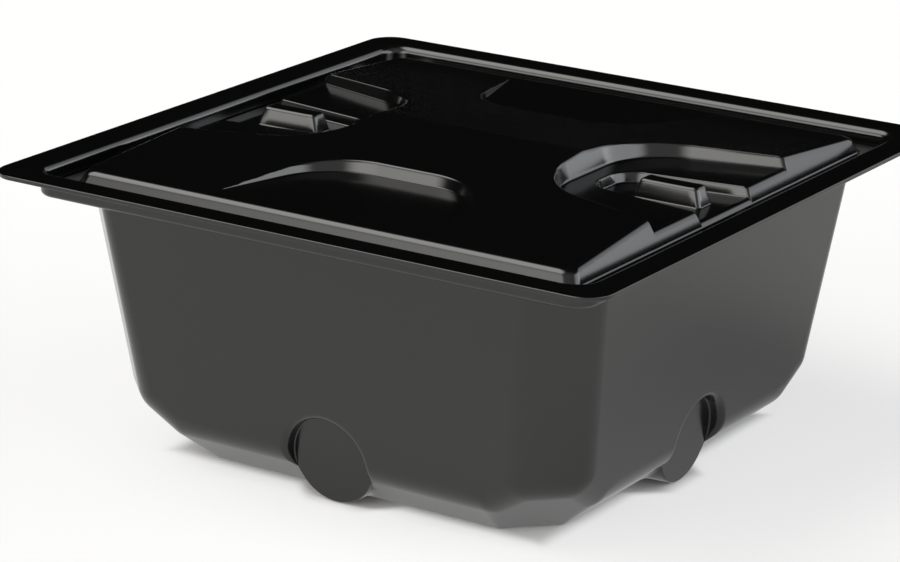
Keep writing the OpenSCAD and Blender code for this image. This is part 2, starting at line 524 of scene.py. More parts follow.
@dataclass
class Bar:
    """A grip bar that stands on the floor of a well.

    RINGS gives the first ring, the end and the step, in millimetres in from the foot.
    """

    middle: float = 259.5
    half_l: float = 43.5
    half_w: float = 15.5
    height: float = 22.0
    end_draft: float = 18.0
    side_draft: float = 12.0
    plan_corner: float = 5.0
    edge: float = 5.0
    fillet: float = 1.8

    BELOW = 4
    LEAST_EDGE = 0.8
    RINGS = (-4.0, 14.1, 0.75)
    RING_PART = 8.0
    CORNER_STEPS = 8
    CORNER_SHRINK = 0.2
    LEAST_CORNER = 1.5

    def raise_on(self, top: Array, x: Array, y: Array, floor: float, inset: float) -> Array:
        """Stands the bar on a surface.

        Args:
            top: Height of the surface before the bar.
            x: Distance along the bar's length.
            y: Distance across it.
            floor: Height of the well's floor.
            inset: How far below the top face the surface lies.

        Returns:
            The height of the surface with the bar.
        """
        rise, slope = block_rise(
            np.abs(x - self.middle), np.abs(y), self.half_l, self.half_w,
            slope_of(self.end_draft), slope_of(self.side_draft), self.plan_corner,
        )
        near = rise > -slope * self.BELOW
        joined = concave(top, floor + rise - inset * np.hypot(1, slope), slope, self.fillet + inset)
        crown = np.full_like(x, floor + self.height - inset)
        capped = convex(crown, joined, slope, max(self.edge - inset, self.LEAST_EDGE))
        return np.where(near, capped, top)

    def lines(self) -> list[Array]:
        """Lines that run round the bar at several heights.

        Returns:
            The rings, in order inwards.
        """
        shrink = slope_of(self.end_draft) / slope_of(self.side_draft)
        runs = []
        for k in np.arange(*self.RINGS):
            half_x, half_y = self.half_l - k, self.half_w - shrink * k
            r = max(self.plan_corner - self.CORNER_SHRINK * k, self.LEAST_CORNER)
            run = []
            for sx, sy, start in ((1, 1, 0), (-1, 1, 90), (-1, -1, 180), (1, -1, 270)):
                for i in range(self.CORNER_STEPS + 1):
                    a = math.radians(start + 90 * i / self.CORNER_STEPS)
                    x = self.middle + sx * (half_x - r) + r * math.cos(a)
                    run.append((x, sy * (half_y - r) + r * math.sin(a)))
            runs.append(densify(np.array(run), self.RING_PART, closed=True))
        return runs


def densify(run: Array, step: float, closed: bool = False) -> Array:
    """Adds points to the long parts of a line.

    Args:
        run: The line's points.
        step: The longest part that stays whole.
        closed: Whether the last point joins the first.

    Returns:
        The points with the new ones between them.
    """
    out = []
    nxt = np.roll(run, -1, axis=0)
    for i, (a, b) in enumerate(zip(run, nxt)):
        out.append(a)
        if i == len(run) - 1 and not closed:
            break
        count = int(np.linalg.norm(b - a) // step)
        out += [a + (b - a) * k / (count + 1) for k in range(1, count + 1)]
    return np.array(out)


def block_rise(
    ax: Array,
    ay: Array,
    half_x: float,
    half_y: float,
    slope_x: float,
    slope_y: float,
    corner: float,
) -> tuple[Array, Array]:
    """Height of the sloping sides of a block with round upright corners.

    Args:
        ax: Distance from the block's middle along X, not below 0.
        ay: Distance from the block's middle along Y, not below 0.
        half_x: Half the block's length at its foot.
        half_y: Half the block's width at its foot.
        slope_x: Rise over run of the ends.
        slope_y: Rise over run of the sides.
        corner: Radius of the upright corners, in plan.

    Returns:
        The rise of the sides above the foot, and the slope there.
    """
    end, side = slope_x * (half_x - ax), slope_y * (half_y - ay)
    p, q = ax - half_x + corner, ay - half_y + corner
    a = 1 / slope_x**2 + 1 / slope_y**2
    b = p / slope_x + q / slope_y
    c = p * p + q * q - corner * corner
    root = (-b + np.sqrt(np.maximum(b * b - a * c, 0))) / a
    p_in, q_in = p + root / slope_x, q + root / slope_y
    at_corner = (b * b > a * c) & (p_in > 0) & (q_in > 0)
    straight_slope = np.where(end < side, slope_x, slope_y)
    lean = np.where(at_corner, p_in / slope_x + q_in / slope_y, 1.0)
    return (
        np.where(at_corner, root, np.minimum(end, side)),
        np.where(at_corner, corner / lean, straight_slope),
    )


@dataclass
class Lid:
    """The drop-in lid: a flat rim and a raised field with a low ridge along X.

    RINGS and LINES give the net's first line, the end and the step, in millimetres from
    the field's foot or a floor's outline, RIDGE_LINES the places across the ridge, and
    PART the longest piece of a line that stays whole.
    """

    rim_half: float = 357.5
    rim_corner: float = 21.5
    rim_top: float = 326.0
    thickness: float = 4.0
    rim_edge: float = 0.8
    foot_half: float = 331.0
    foot_fillet: float = 3.0
    field_corner: float = 15.0
    field_draft: float = 24.0
    field_edge: float = 9.0
    eave_z: float = 344.0
    ridge_z: float = 370.0
    ridge_soft: float = 3.0
    recess: Recess = field(
        default_factory=lambda: Recess(
            floor=344.5, length=174.0, mouth_half=151.0, flare=14.6,
            corner=88.0, draft=18.0, fillet=2.5, edge=4.0,
        )
    )
    well: Recess = field(
        default_factory=lambda: Recess(
            floor=332.5, length=147.0, mouth_half=56.0, flare=8.5,
            corner=28.0, draft=18.0, fillet=2.0, edge=3.0,
        )
    )
    bar: Bar = field(default_factory=Bar)

    LEAST_EDGE = 0.8
    EDGE_STEPS = 3
    FIELD_RINGS = (-3.4, 28.0, 0.9)
    RECESS_LINES = (-2.6, 13.0, 0.75)
    WELL_LINES = (-2.2, 7.6, 0.7)
    RIDGE_LINES = (-9.0, -5.0, -2.5, 0.0, 2.5, 5.0, 9.0)
    WIDE_PART = 9.0
    WELL_PART = 7.0
    RIDGE_PART = 40.0

    @property
    def eave(self) -> float:
        """Half width of the field at its eaves."""
        return self.foot_half - (self.eave_z - self.rim_top) / slope_of(self.field_draft)

    def height(self, x: Array, y: Array, inset: float = 0.0) -> Array:
        """Height of the lid's top face, or of a face that lies inset below it.

        Args:
            x: Place along the ridge.
            y: Place across it.
            inset: How far the face lies below the top face.

        Returns:
            The height above the floor.
        """
        lean = (self.ridge_z - self.eave_z) / self.eave
        z = self.ridge_z - lean * np.hypot(y, self.ridge_soft) - inset * math.hypot(1, lean)
        for along, across in ((x, y), (-x, y), (y, x), (-y, x)):
            z = self.recess.cut(z, along, across, self.eave, inset)
        for along in (x, -x):
            z = self.well.cut(z, along, y, self.eave, inset)
            z = self.bar.raise_on(z, along, y, self.well.floor, inset)
        s, half = slope_of(self.field_draft), self.foot_half
        rise, _ = block_rise(np.abs(x), np.abs(y), half, half, s, s, self.field_corner)
        rim = np.full_like(x, self.rim_top - inset)
        steep = self.rim_top + rise - inset * math.hypot(1, s)
        side = concave(rim, steep, s, self.foot_fillet + inset)
        return convex(z, side, s, max(self.field_edge - inset, self.LEAST_EDGE))

    def plan(self) -> Plan:
        """Draws the lines that the lid's faces are laid over.

        Returns:
            The net.
        """
        plan = Plan()
        run = SquareRun()
        rim = self.rim_half - self.rim_edge
        plan.line(run.ring(rim, self.rim_corner - self.rim_edge), closed=True)
        for k in np.arange(*self.FIELD_RINGS):
            ring = run.ring(self.foot_half - k, self.field_corner)
            plan.line(densify(ring, self.WIDE_PART, closed=True), closed=True)
        mouth = self.foot_half - 1
        recess = self.recess.lines(self.eave, mouth, np.arange(*self.RECESS_LINES), self.WIDE_PART)
        well = self.well.lines(self.eave, mouth, np.arange(*self.WELL_LINES), self.WELL_PART)
        for line in recess:
            for turned in (line, -line, line[:, ::-1], -line[:, ::-1]):
                plan.line(turned)
        for line in well:
            plan.line(line)
            plan.line(-line)
        for line in self.bar.lines():
            plan.line(line, closed=True)
            plan.line(-line, closed=True)
        for y in self.RIDGE_LINES:
            plan.level(-self.eave, self.eave, y, self.RIDGE_PART)
        return plan

    def build(self, material: bpy.types.Material) -> bpy.types.Object:
        """Makes the lid.

        Args:
            material: The finish.

        Returns:
            The lid's object.
        """
        sheet = Sheet("lid_shell")
        rim = self.rim_half - self.rim_edge
        run = SquareRun()
        border = run.ring(rim, self.rim_corner - self.rim_edge)
        points, faces = self.plan().triangles(lambda middle: in_loop(middle, border))
        x, y = points.T
        for inset, turn in ((0.0, Turn.AS_BUILT), (self.thickness, Turn.REVERSED)):
            normals = normals_of(lambda u, v: self.height(u, v, inset), x, y)
            sheet.patch(np.column_stack([x, y, self.height(x, y, inset)]), normals, faces, turn)
        e, steps = self.rim_edge, self.EDGE_STEPS
        low, corner = self.rim_top - self.thickness, self.rim_corner - e
        lower = bend((rim, low + e), e, -90, 0, corner, steps)
        upper = bend((rim, self.rim_top - e), e, 0, 90, corner, steps)
        run.sweep(sheet, lower + upper)
        return sheet.build(material, "lid_plastic", "lid")


# The tub


@dataclass
class RoundedBody:
    """The tub's body as a skin stretched over balls, seen towards one wall.

    The wall lies 340 mm out at a height of 317 mm, and wall_0 out at the floor.
    """

    wall_draft: float = 7.4
    wall_0: float = 340.0 - 317.0 * math.tan(math.radians(wall_draft))
    corner_cut: float = 56.0
    base_cut: float = 51.0
    bevel_h: float = 50.0
    bevel_angle: float = 38.7
    top: float = 346.0
    edge: float = 26.0
    bevel_edge: float = 42.0
    base_edge: float = 8.0

    EDGES = ((0, 1), (1, 2), (2, 3), (1, 5), (3, 7), (2, 10), (3, 11), (4, 5))
    FACES = (
        (0, 1, 2), (0, 2, 8), (8, 2, 10), (2, 3, 11), (2, 11, 10),
        (0, 1, 5), (0, 5, 4), (1, 2, 3), (1, 3, 7), (1, 7, 5), (5, 6, 7),
    )

    def __post_init__(self) -> None:
        """Places the balls that touch the walls, the corner cuts and the bevels from inside.

        Balls 0 to 3 stand at the top, at the cut's foot, at the bevel's end and at the
        floor; 4 to 7 are the same across the diagonal and 8 to 11 across the wall's middle.
        """
        self.wall_m = math.tan(math.radians(self.wall_draft))
        self.bevel_m = 1 / math.tan(math.radians(self.bevel_angle))
        self.bevel_0 = self.wall_0 - (self.bevel_m - self.wall_m) * self.bevel_h
        self.cut_0, self.cut_m = 2 * self.wall_0 - self.corner_cut, 2 * self.wall_m
        self.bcut_0, self.bcut_m = 2 * self.bevel_0 - self.base_cut, math.sqrt(2) * self.bevel_m
        wall, cut, *_ = self.planes_in(self.edge)
        z = self.top + self.edge
        eighth = [(*self.on_wall(wall, cut + self.cut_m * z, z), self.edge)]
        wall, cut, bevel, bcut = self.planes_in(self.bevel_edge)
        z = (cut - bcut) / (self.bcut_m - self.cut_m)
        eighth.append((*self.on_wall(wall, cut + self.cut_m * z, z), self.bevel_edge))
        z = (wall - bevel) / (self.bevel_m - self.wall_m)
        eighth.append((*self.on_wall(wall, bcut + self.bcut_m * z, z), self.bevel_edge))
        *_, bevel, bcut = self.planes_in(self.base_edge)
        z = self.base_edge
        out = bevel + self.bevel_m * z
        eighth.append((out, bcut + self.bcut_m * z - out, z, self.base_edge))
        swapped = [(y, x, z, r) for x, y, z, r in eighth]
        mirrored = [(x, -y, z, r) for x, y, z, r in eighth]
        self.balls = np.array(eighth + swapped + mirrored)

    def planes_in(self, d: float) -> tuple[float, float, float, float]:
        """How far out the four planes lie at the floor, once each is moved in.

        Args:
            d: How far each plane is moved in.

        Returns:
            The distance of the wall, of the corner cut as x + y, of the bevel, and of
            the bevel's corner cut as x + y.
        """
        return (
            self.wall_0 - d * math.hypot(1, self.wall_m),
            self.cut_0 - d * math.sqrt(2 + self.cut_m**2),
            self.bevel_0 - d * math.hypot(1, self.bevel_m),
            self.bcut_0 - d * math.sqrt(2 + self.bcut_m**2),
        )

    def on_wall(self, wall: float, total: float, z: float) -> tuple[float, float, float]:
        """The point at height z that lies on the moved wall, with x + y as given."""
        x = wall + self.wall_m * z
        return x, total - x, z

    def reach(self, y: Array, z: Array, inset: float) -> Array:
        """How far out the body's face lies.

        The skin over the balls is the furthest out of the cones that touch two balls
        and the planes that touch three.

        Args:
            y: Place across the wall.
            z: Height above the floor.
            inset: How far in from the outer face the surface lies.

        Returns:
            The distance out from the middle of the tub.
        """
        balls = self.balls - (0, 0, 0, inset)
        p = np.column_stack([np.abs(y), z])
        best = np.full(len(p), -np.inf)
        for i, j in self.EDGES:
            best = np.maximum(best, self.cone(balls[i], balls[j], p))
        for corners in self.FACES:
            best = np.maximum(best, self.plane(balls[list(corners)], p))
        return best

    @staticmethod
    def cone(a: Array, b: Array, p: Array) -> Array:
        """The furthest point out, at each place, on the skin over two balls.

        Args:
            a: One ball, as (x, y, z, radius).
            b: The other ball.
            p: The places, as (y, z), one a row.

        Returns:
            The distance out, or minus infinity where the skin isn't.
        """
        way, off = b - a, p - a[1:3]
        q2 = way[3] ** 2 - way[1] ** 2 - way[2] ** 2
        q1 = 2 * (a[3] * way[3] + off @ way[1:3])
        q0 = a[3] ** 2 - (off**2).sum(1)
        found = np.full(len(p), -np.inf)
        k2, k1, k0 = q2 * (q2 - way[0] ** 2), q1 * (q2 - way[0] ** 2), q1**2 / 4 - way[0] ** 2 * q0
        root = np.sqrt(np.maximum(k1**2 - 4 * k2 * k0, 0))
        turning = ((-k1 + root) / (2 * k2), (-k1 - root) / (2 * k2))
        for t in (np.zeros(len(p)), np.ones(len(p)), *turning):
            t = np.clip(t, 0, 1)
            under = q2 * t * t + q1 * t + q0
            out = a[0] + way[0] * t + np.sqrt(np.maximum(under, 0))
            found = np.where(under >= -CLOSE, np.maximum(found, out), found)
        return found

    @staticmethod
    def plane(balls: Array, p: Array) -> Array:
        """The plane that touches three balls, at the places inside its triangle.

        Args:
            balls: The balls, as (x, y, z, radius), one a row.
            p: The places, as (y, z), one a row.

        Returns:
            The distance out, or minus infinity outside the triangle.
        """
        steep = np.array([0.0, 0.0])
        for _ in range(SEARCH_ROUNDS):
            swell = balls[:, 3] * math.sqrt(1 + steep @ steep)
            reach = balls[:, 0] + swell
            steep = np.linalg.solve(balls[1:, 1:3] - balls[0, 1:3], reach[0] - reach[1:])
        long = math.sqrt(1 + steep @ steep)
        touch = balls[:, 1:3] + balls[:, 3:] * steep / long
        places = np.column_stack([p, np.ones(len(p))]).T
        share = np.linalg.solve(np.vstack([touch.T, np.ones(3)]), places)
        level = balls[0, 0] + balls[0, 1:3] @ steep + balls[0, 3] * long
        return np.where(share.min(0) >= -ROUNDING, level - p @ steep, -np.inf)

    def corner_points(self) -> tuple[tuple[float, float], tuple[float, float]]:
        """Where the edges between wall, corner cuts and bevel meet, as (y, z).

        Returns:
            The upper point, where the wall meets both cuts, and the lower one, where it
            meets the bevel and the bevel's cut.
        """
        z_a = (self.cut_0 - self.bcut_0) / (self.bcut_m - self.cut_m)
        y_a = self.cut_0 + self.cut_m * z_a - self.wall_0 - self.wall_m * z_a
        z_b = (self.wall_0 - self.bevel_0) / (self.bevel_m - self.wall_m)
        y_b = self.bcut_0 + self.bcut_m * z_b - self.wall_0 - self.wall_m * z_b
        return (y_a, z_a), (y_b, z_b)


@dataclass
class Pad:
    """A flat round pad, sunk into the wall and standing out of the bevel below it.

    Its lowest point is 1.5 mm above the floor. BESIDE lists the rings' distances on both
    sides of its edge, and BETWEEN their shares of the way across the sloping side.
    """

    face: float
    lean: float
    radius: float = 52.5
    centre_z: float = radius * math.cos(math.radians(RoundedBody.wall_draft)) + 1.5
    draft: float = 2.0
    rim: float = 8.0
    foot: float = 1.6
    root: float = 5.0

    LEAST_TIP = 0.6
    LEAST_RIM = 1.0
    SOFT_RUN = 2
    STEPS = 144
    EDGE_ROUNDS = 4
    BETWEEN = (0.2, 0.5, 0.8)
    BESIDE = (0.0, 0.08, 0.25, 0.55, 1.0, 1.6, 2.3, 3.2, 4.3, 5.6, 7.0, 8.6)

    def radii(self, inset: float) -> tuple[float, float]:
        """Radius of the sunk part and of the part that stands out."""
        return self.radius + inset, self.radius - inset

    def flat(self, z: Array, inset: float) -> Array:
        """How far out the pad's face lies at height z."""
        return self.face + self.lean * (z - self.centre_z) - inset * math.hypot(1, self.lean)

    def shape(self, body: Array, y: Array, z: Array, inset: float) -> Array:
        """Puts the pad into the body's face.

        Args:
            body: How far out the face lies without the pad.
            y: Place across the wall.
            z: Height above the floor.
            inset: How far in from the outer face the surface lies.

        Returns:
            How far out the face lies with the pad.
        """
        s = slope_of(self.draft)
        flat = self.flat(z, inset)
        rho = np.hypot(y, z - self.centre_z)
        sunk_r, proud_r = self.radii(inset)
        share = np.clip(np.abs(body - flat) / (self.rim + self.foot + self.SOFT_RUN), 0, 1)
        tip = max(self.foot - inset, self.LEAST_TIP)
        rim = max(self.rim - inset, self.LEAST_RIM)
        sunk = concave(flat, flat + s * (rho - sunk_r), s, (self.foot + inset) * share + SHARP)
        sunk = convex(body, sunk, s, rim * share + SHARP)
        proud = convex(flat, flat - s * (rho - proud_r), s, tip * share + SHARP)
        proud = concave(body, proud, s, (self.root + inset) * share + SHARP)
        return np.where(body > flat, sunk, proud)

    def lines(self, body: RoundedBody, inset: float) -> list[Array]:
        """Rings round the pad, close together where the face turns.

        Args:
            body: The body that the pad is in.
            inset: How far in from the outer face the surface lies.

        Returns:
            The rings, in order outwards.
        """
        s = slope_of(self.draft)
        angles = np.linspace(0, 2 * math.pi, self.STEPS, endpoint=False)
        across, up = np.cos(angles), np.sin(angles)
        runs = []
        for r in sorted(set(self.radii(inset))):
            edge_r = np.full_like(angles, r)
            for _ in range(self.EDGE_ROUNDS):
                y, z = edge_r * across, np.maximum(self.centre_z + edge_r * up, inset)
                edge_r = r + np.abs(body.reach(y, z, inset) - self.flat(z, inset)) / s
            ways = [np.full_like(angles, r - f) for f in reversed(self.BESIDE)]
            ways += [r + (edge_r - r) * k for k in self.BETWEEN]
            ways += [edge_r + f for f in self.BESIDE]
            runs += [np.column_stack([way * across, self.centre_z + way * up]) for way in ways]
        return runs


@dataclass
class Tub:
    """The tub: flange, gutter with its skirt, sloping walls, bevel, floor and pads.

    The capitals set the walls' net. ROWS and OFFSETS give the first line, the end and the
    step, in millimetres from the edge that the lines run beside, REACH and PAST how far
    they run, and PART the longest piece of a line that stays whole.
    """

    top: float = 346.0
    thickness: float = 5.0
    flange_half: float = 400.0
    flange_corner: float = 34.0
    flange_edge: float = 0.9
    gutter_half: float = 360.0
    gutter_corner: float = 24.0
    gutter_depth: float = 24.0
    gutter_fillet: float = 3.0
    rim_r: float = 10.0
    skirt_edge: float = 5.0
    pad_depth: float = 17.0
    body: RoundedBody = field(default_factory=RoundedBody)

    DIAGONAL_RANGE = (100.0, 400.0)
    ON_CUT = 1e-3
    NET_SHIFT = 0.25
    FOOT_STEPS = 6
    COARSE_ROWS = 9
    CUT_ROWS = (-22.4, 22.5, 2.24)
    BEVEL_ROWS = (-18.0, 20.1, 1.955)
    EDGE_OFFSETS = (-17.16, 17.26, 1.716)
    CUT_REACH = 46.0
    BEVEL_PAST = 12.0
    BASE_PAST = 0.25
    TOP_PAST = 5.0
    FOOT_PART = 30.0
    CUT_PART = 12.0
    BEVEL_PART = 24.0
    EDGE_PART = 26.0

    @property
    def pad(self) -> Pad:
        """The pad, whose face lies behind the wall and parallel to it.

        Returns:
            The pad, at the depth that pad_depth gives.
        """
        shape = Pad(0.0, self.body.wall_m)
        wall = self.body.wall_0 + self.body.wall_m * shape.centre_z
        shape.face = wall - self.pad_depth * math.hypot(1, self.body.wall_m)
        return shape

    def wall_face(self, y: Array, z: Array, inset: float) -> Array:
        """How far out one wall lies, pads and round edges included."""
        return self.pad.shape(self.body.reach(y, z, inset), y, z, inset)

    def diagonal(self, z: Array, inset: float) -> Array:
        """Where the wall's half of the corner cut ends, at each height.

        Args:
            z: The heights.
            inset: How far in from the outer face the surface lies.

        Returns:
            How far across the wall that is, and so how far out.
        """
        low, high = (np.full_like(z, end) for end in self.DIAGONAL_RANGE)
        for _ in range(SEARCH_ROUNDS):
            mid = (low + high) / 2
            out = self.body.reach(mid, z, inset) < mid
            high, low = np.where(out, mid, high), np.where(out, low, mid)
        return (low + high) / 2

    def wall_plan(self, inset: float, low: float, high: float) -> tuple[Plan, Array]:
        """The net of lines of one wall, and the outline of its domain.

        Args:
            inset: How far in from the outer face the surface lies.
            low: Height of the net's lower edge.
            high: Height of the net's upper edge.

        Returns:
            The net, and the corners of its outline in order.
        """
        plan = Plan()
        r = self.body.base_edge - inset
        turn = math.radians(self.body.bevel_angle)
        steps = self.FOOT_STEPS
        foot = [low + r * (1 - math.cos(turn * i / steps)) for i in range(steps + 1)]
        (y_a, z_a), (y_b, z_b) = self.body.corner_points()
        shift = inset * self.NET_SHIFT
        cut_rows = [z_a + shift + k for k in np.arange(*self.CUT_ROWS)]
        below = np.linspace(foot[-1], cut_rows[0], self.COARSE_ROWS)[1:]
        above = np.linspace(cut_rows[-1], high, self.COARSE_ROWS)[1:]
        heights = sorted({*foot, *cut_rows, *below, *above})
        z = np.array(heights)
        d = self.diagonal(z, inset)
        outline = np.vstack([np.column_stack([d, z]), np.column_stack([-d, z])[::-1]])
        plan.line(outline, closed=True)
        for row in foot[1:]:
            plan.level(-d[heights.index(row)], d[heights.index(row)], row, self.FOOT_PART)
        base_y = self.body.bcut_0 - self.body.bevel_0
        base = (base_y - self.BASE_PAST * (y_b - base_y), -self.BASE_PAST * z_b)
        past = high + self.TOP_PAST
        top = (y_a + self.body.wall_m * (past - z_a), past)
        for side in (-1, 1):
            for row in cut_rows:
                half = d[heights.index(row)]
                plan.level(side * half, side * (half - self.CUT_REACH), row, self.CUT_PART)
            for a, b in ((top, (y_a, z_a)), ((y_a, z_a), (y_b, z_b)), ((y_b, z_b), base)):
                self.edge_lines(plan, np.array(a), np.array(b), side, (low, high))
        half = y_b + self.BEVEL_PAST
        for k in np.arange(*self.BEVEL_ROWS):
            plan.level(-half, half, z_b + shift + k, self.BEVEL_PART)
        for ring in self.pad.lines(self.body, inset):
            plan.line(ring, closed=True)
        return plan, outline

    def edge_lines(
        self, plan: Plan, a: Array, b: Array, side: int, limits: tuple[float, float]
    ) -> None:
        """Adds lines alongside one edge of the body.

        Args:
            plan: The net that takes them.
            a: One end of the edge, as (y, z).
            b: The other end.
            side: 1 or -1, for the right or the left half of the wall.
            limits: Lowest and highest height of the net.
        """
        way = (b - a) / np.linalg.norm(b - a)
        across = np.array([-way[1], way[0]])
        for o in np.arange(*self.EDGE_OFFSETS):
            (y_0, z_0), (y_1, z_1) = a + across * o, b + across * o
            cut = np.clip((z_0, z_1), *limits)
            ends = np.column_stack([y_0 + (cut - z_0) * (y_1 - y_0) / (z_1 - z_0), cut])
            plan.line(densify(ends, self.EDGE_PART) * (side, 1))

    def add_body(self, sheet: Sheet, inset: float, low: float, high: float, turn: Turn) -> Array:
        """Adds the four walls and the floor.

        Args:
            sheet: The mesh that takes the faces.
            inset: How far in from the outer face the surface lies.
            low: Height of the floor.
            high: Height of the walls' upper edge.
            turn: AS_BUILT for faces that look outwards.

        Returns:
            The loop along the walls' upper edge.
        """
        plan, outline = self.wall_plan(inset, low, high)
        points, faces = plan.triangles(lambda middle: in_loop(middle, outline))
        y, z = points.T
        x = self.wall_face(y, z, inset)
        on_cut = np.abs(np.abs(y) - self.diagonal(z, inset)) < self.ON_CUT
        x = np.where(on_cut, np.abs(y), x)
        flat_n = normals_of(lambda u, v: self.wall_face(u, np.maximum(v, low), inset), y, z)
        n = np.column_stack([flat_n[:, 2], flat_n[:, 0], flat_n[:, 1]])
        n[z < low + CLOSE] = (0, 0, -1)
        top_row, low_row = (np.abs(z - row) < CLOSE for row in (high, low))
        tops, lows = [], []
        for quarter in range(4):
            a = math.pi / 2 * quarter
            c, s = math.cos(a), math.sin(a)
            spin = np.array([[c, s, 0], [-s, c, 0], [0, 0, 1]])
            p = np.column_stack([x, y, z]) @ spin
            sheet.patch(p, n @ spin, faces, turn)
            for row, store in ((top_row, tops), (low_row, lows)):
                order = np.argsort(y[row])
                store.append(p[row][order][:-1, :2])
        fill_flat(sheet, low, np.vstack(lows), None, Turn(-turn.value))
        return np.vstack(tops)

    def build(self, material: bpy.types.Material) -> bpy.types.Object:
        """Makes the tub.

        Args:
            material: The finish.

        Returns:
            The tub's object.
        """
        sheet = Sheet("tub_shell")
        t, top, e = self.thickness, self.top, self.flange_edge
        ledge, under = top - self.gutter_depth, top - self.gutter_depth - t
        outer_loop = self.add_body(sheet, 0.0, 0.0, under, Turn.AS_BUILT)
        inner_loop = self.add_body(sheet, t, t, ledge, Turn.REVERSED)
        run = SquareRun()
        g, gc, gf = self.gutter_half, self.gutter_corner, self.gutter_fillet
        r, sk = self.rim_r, self.skirt_edge
        skirt, skirt_corner = g + t - sk, gc + t - sk
        rim, rim_corner = self.flange_half - e, self.flange_corner - e
        profile = (
            bend((skirt, under + sk), sk, -90, 0, skirt_corner, steps=6)
            + bend((g + r, top - r), r - t, 180, 90, gc + r, steps=6, sign=-1)
            + bend((rim, top - t + e), e, -90, 0, rim_corner, steps=3)
            + bend((rim, top - e), e, 0, 90, rim_corner, steps=3)
            + bend((g + r, top - r), r, 90, 180, gc + r, steps=12)
            + bend((g - gf, ledge + gf), gf, 0, -90, gc - gf, steps=5, sign=-1)
        )
        run.sweep(sheet, profile)
        fill_flat(sheet, under, run.ring(skirt, skirt_corner), outer_loop, Turn.REVERSED)
        fill_flat(sheet, ledge, run.ring(g - gf, gc - gf), inner_loop, Turn.AS_BUILT)
        return sheet.build(material, "tub_plastic", "tub")


# Shader nodes


def add_node(tree: Tree, kind: str, inputs: dict[str | int, object], way: str = "") -> Node:
    """Adds a shader node.

    Args:
        tree: The nodes that it joins.
        kind: The node's type, without the "ShaderNode" in front of it.
        inputs: For each input, its value or the socket that feeds it.
        way: What a math node does, by Blender's name for it.

    Returns:
        The new node.
    """
    node = tree.nodes.new("ShaderNode" + kind)
    if way:
        node.operation = way
    for name, value in inputs.items():
        if isinstance(value, Socket):
            tree.links.new(value, node.inputs[name])
        else:
            node.inputs[name].default_value = value
    return node


def worked(tree: Tree, way: str, one: Socket, other: Socket | float) -> Socket:
    """One value worked with another, by the Math node's name for it."""
    return add_node(tree, "Math", {0: one, 1: other}, way).outputs["Value"]


def along(tree: Tree, place: Socket, way: Sequence[float]) -> Socket:
    """How far a place or a direction lies along the given one."""
    return add_node(tree, "VectorMath", {0: place, 1: way}, "DOT_PRODUCT").outputs["Value"]


def fade(tree: Tree, value: Socket, ends: Fade) -> Socket:
    """A soft step from one value to another.

    Args:
        tree: The nodes that it joins.
        value: What the step follows.
        ends: The value at the step's start and end, and what the step gives at each.

    Returns:
        What the step gives.
    """
    names = ("From Min", "From Max", "To Min", "To Max")
    node = add_node(tree, "MapRange", {"Value": value, **dict(zip(names, ends))})
    node.interpolation_type = "SMOOTHSTEP"
    return node.outputs["Result"]


def pick(tree: Tree, share: Socket, one: Node, other: Node) -> Node:
    """Mixes one shader into another by a share from 0 to 1."""
    return add_node(tree, "MixShader", {"Fac": share, 1: one.outputs[0], 2: other.outputs[0]})


# Finishes


@dataclass(frozen=True)
class SheetPlastic:
    """Black thermoformed sheet with a semi-gloss skin."""

    name: str
    colour: Rgb = (0.0022, 0.0022, 0.0022)
    ior: float = 1.57
    roughness: float = 0.15
    roughness_play: float = 0.03
    grain_size: float = 0.0011
    grain_depth: float = 0.000004
    grain_detail: float = 2.0
    wave_size: float = 0.16
    wave_depth: float = 0.0003
    wave_detail: float = 1.0
    cloud_size: float = 1 / 7.0
    cloud_detail: float = 3.0
    cloud_tint: float = 1.35

    def material(self) -> bpy.types.Material:
        """Makes the material.

        Returns:
            The material, ready for a piece.
        """
        mat = bpy.data.materials.new(self.name)
        mat.use_nodes = True
        tree = mat.node_tree
        nodes, links = tree.nodes, tree.links
        shader = nodes["Principled BSDF"]
        shader.inputs["IOR"].default_value = self.ior
        place = add_node(tree, "TexCoord", {}).outputs["Object"]
        cloud = self.noise(tree, place, self.cloud_size, self.cloud_detail)
        fine = self.noise(tree, place, self.grain_size, self.grain_detail)
        wave = self.noise(tree, place, self.wave_size, self.wave_detail)
        tint = nodes.new("ShaderNodeMix")
        tint.data_type = "RGBA"
        tint.inputs["A"].default_value = (*self.colour, 1)
        tint.inputs["B"].default_value = (*(c * self.cloud_tint for c in self.colour), 1)
        links.new(cloud, tint.inputs["Factor"])
        links.new(tint.outputs["Result"], shader.inputs["Base Color"])
        low, high = self.roughness - self.roughness_play, self.roughness + self.roughness_play
        rough = add_node(tree, "MapRange", {"Value": cloud, "To Min": low, "To Max": high})
        links.new(rough.outputs["Result"], shader.inputs["Roughness"])
        slow = add_node(tree, "Bump", {"Height": wave, "Distance": self.wave_depth})
        bumps = {"Height": fine, "Distance": self.grain_depth, "Normal": slow.outputs["Normal"]}
        grain = add_node(tree, "Bump", bumps)
        links.new(grain.outputs["Normal"], shader.inputs["Normal"])
        return mat

    @staticmethod
    def noise(tree: Tree, place: Socket, size: float, detail: float) -> Socket:
        """Adds a noise texture whose patches have the given size in metres."""
        inputs = {"Vector": place, "Scale": 1 / size, "Detail": detail}
        return add_node(tree, "TexNoise", inputs).outputs["Fac"]


# The studio


